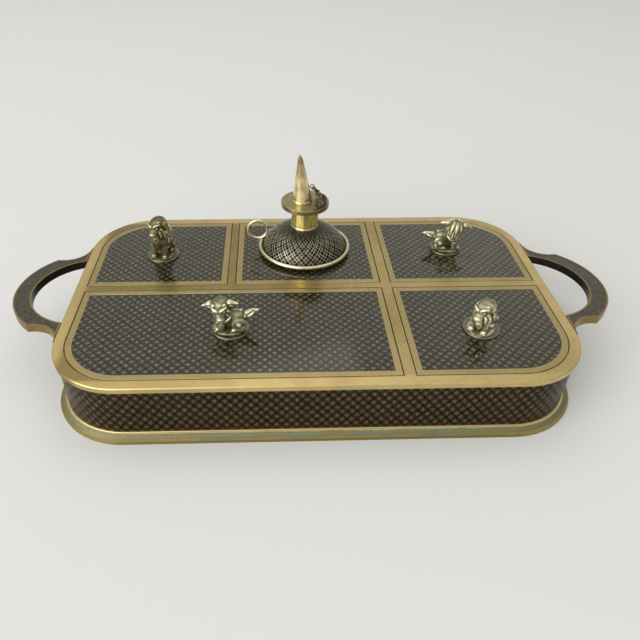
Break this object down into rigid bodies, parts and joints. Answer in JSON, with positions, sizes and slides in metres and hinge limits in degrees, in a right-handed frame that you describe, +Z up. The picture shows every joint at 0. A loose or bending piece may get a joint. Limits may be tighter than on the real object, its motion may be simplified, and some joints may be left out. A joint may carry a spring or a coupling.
{
  "type": "desk inkstand",
  "caption": "Low enamelled brass desk inkstand with lift-off lids, lion knobs, loop handles and a finger lamp with a snuffer on a chain",
  "frame": {"origin": "on the table, under the middle of the tray", "axes": "X runs along the tray from the left handle to the right handle, Y runs from the front to the back, where the lamp stands, and Z is up"},
  "size_m": [0.373, 0.1864, 0.1082],
  "materials": {
    "aged_brass": "satin",
    "verdigris_brass": "satin",
    "polished_brass": "polished",
    "bronze": "satin",
    "dark_enamel": "gloss",
    "slate_enamel": "gloss",
    "glazed_stoneware": "gloss",
    "cotton": "matte"
  },
  "bodies": {
    "tray": {"foot_moulding": "verdigris_brass", "floor_sheet": "aged_brass", "side_wall": "aged_brass", "side_enamel": "dark_enamel", "top_frame": "aged_brass", "cross_partition": "aged_brass", "main_partition": "aged_brass", "rear_partition": "aged_brass", "handle_left": "aged_brass", "handle_right": "aged_brass", "handle_enamel_left": "slate_enamel", "handle_enamel_right": "slate_enamel", "ink_pot": "glazed_stoneware"},
    "lid_body_front_left": {"lid_front_left": "aged_brass", "enamel_front_left": "dark_enamel", "plate_front_left": "bronze", "lion_front_left": "bronze", "nut_front_left": "aged_brass"},
    "lid_body_front_right": {"lid_front_right": "aged_brass", "enamel_front_right": "dark_enamel", "plate_front_right": "bronze", "lion_front_right": "bronze", "nut_front_right": "aged_brass"},
    "lid_body_rear_left": {"lid_rear_left": "aged_brass", "enamel_rear_left": "dark_enamel", "plate_rear_left": "bronze", "lion_rear_left": "bronze", "nut_rear_left": "aged_brass"},
    "lid_body_rear_right": {"lid_rear_right": "aged_brass", "enamel_rear_right": "dark_enamel", "plate_rear_right": "bronze", "lion_rear_right": "bronze", "nut_rear_right": "aged_brass"},
    "lid_body_rear_centre": {"lid_rear_centre": "aged_brass", "enamel_rear_centre": "dark_enamel"},
    "lamp_body": {"lamp_pan": "polished_brass", "lamp_dome": "dark_enamel", "lamp_neck": "polished_brass", "finger_ring": "polished_brass"},
    "burner_body": {"burner_plate": "bronze", "wick_tube": "polished_brass", "wick": "cotton", "chain_eye": "bronze", "lamp_chain": "bronze"},
    "snuffer_body": {"snuffer_cone": "polished_brass", "snuffer_loop": "polished_brass", "snuffer_links": "bronze"}
  },
  "joints": [
    {"name": "lid_front_left_lift", "type": "slide", "parent": "tray", "child": "lid_body_front_left", "axis": [0, 0, 1], "range_m": [0, 0.04]},
    {"name": "lid_front_right_lift", "type": "slide", "parent": "tray", "child": "lid_body_front_right", "axis": [0, 0, 1], "range_m": [0, 0.04]},
    {"name": "lid_rear_left_lift", "type": "slide", "parent": "tray", "child": "lid_body_rear_left", "axis": [0, 0, 1], "range_m": [0, 0.04]},
    {"name": "lid_rear_centre_lift", "type": "slide", "parent": "tray", "child": "lid_body_rear_centre", "axis": [0, 0, 1], "range_m": [0, 0.04]},
    {"name": "lid_rear_right_lift", "type": "slide", "parent": "tray", "child": "lid_body_rear_right", "axis": [0, 0, 1], "range_m": [0, 0.04]},
    {"name": "lamp_lift", "type": "slide", "parent": "lid_body_rear_centre", "child": "lamp_body", "axis": [0, 0, 1], "range_m": [0, 0.03]},
    {"name": "burner_lift", "type": "slide", "parent": "lamp_body", "child": "burner_body", "axis": [0, 0, 1], "range_m": [0, 0.045]},
    {"name": "snuffer_lift", "type": "slide", "parent": "burner_body", "child": "snuffer_body", "axis": [0, 0, 1], "range_m": [0, 0.012]}
  ]
}
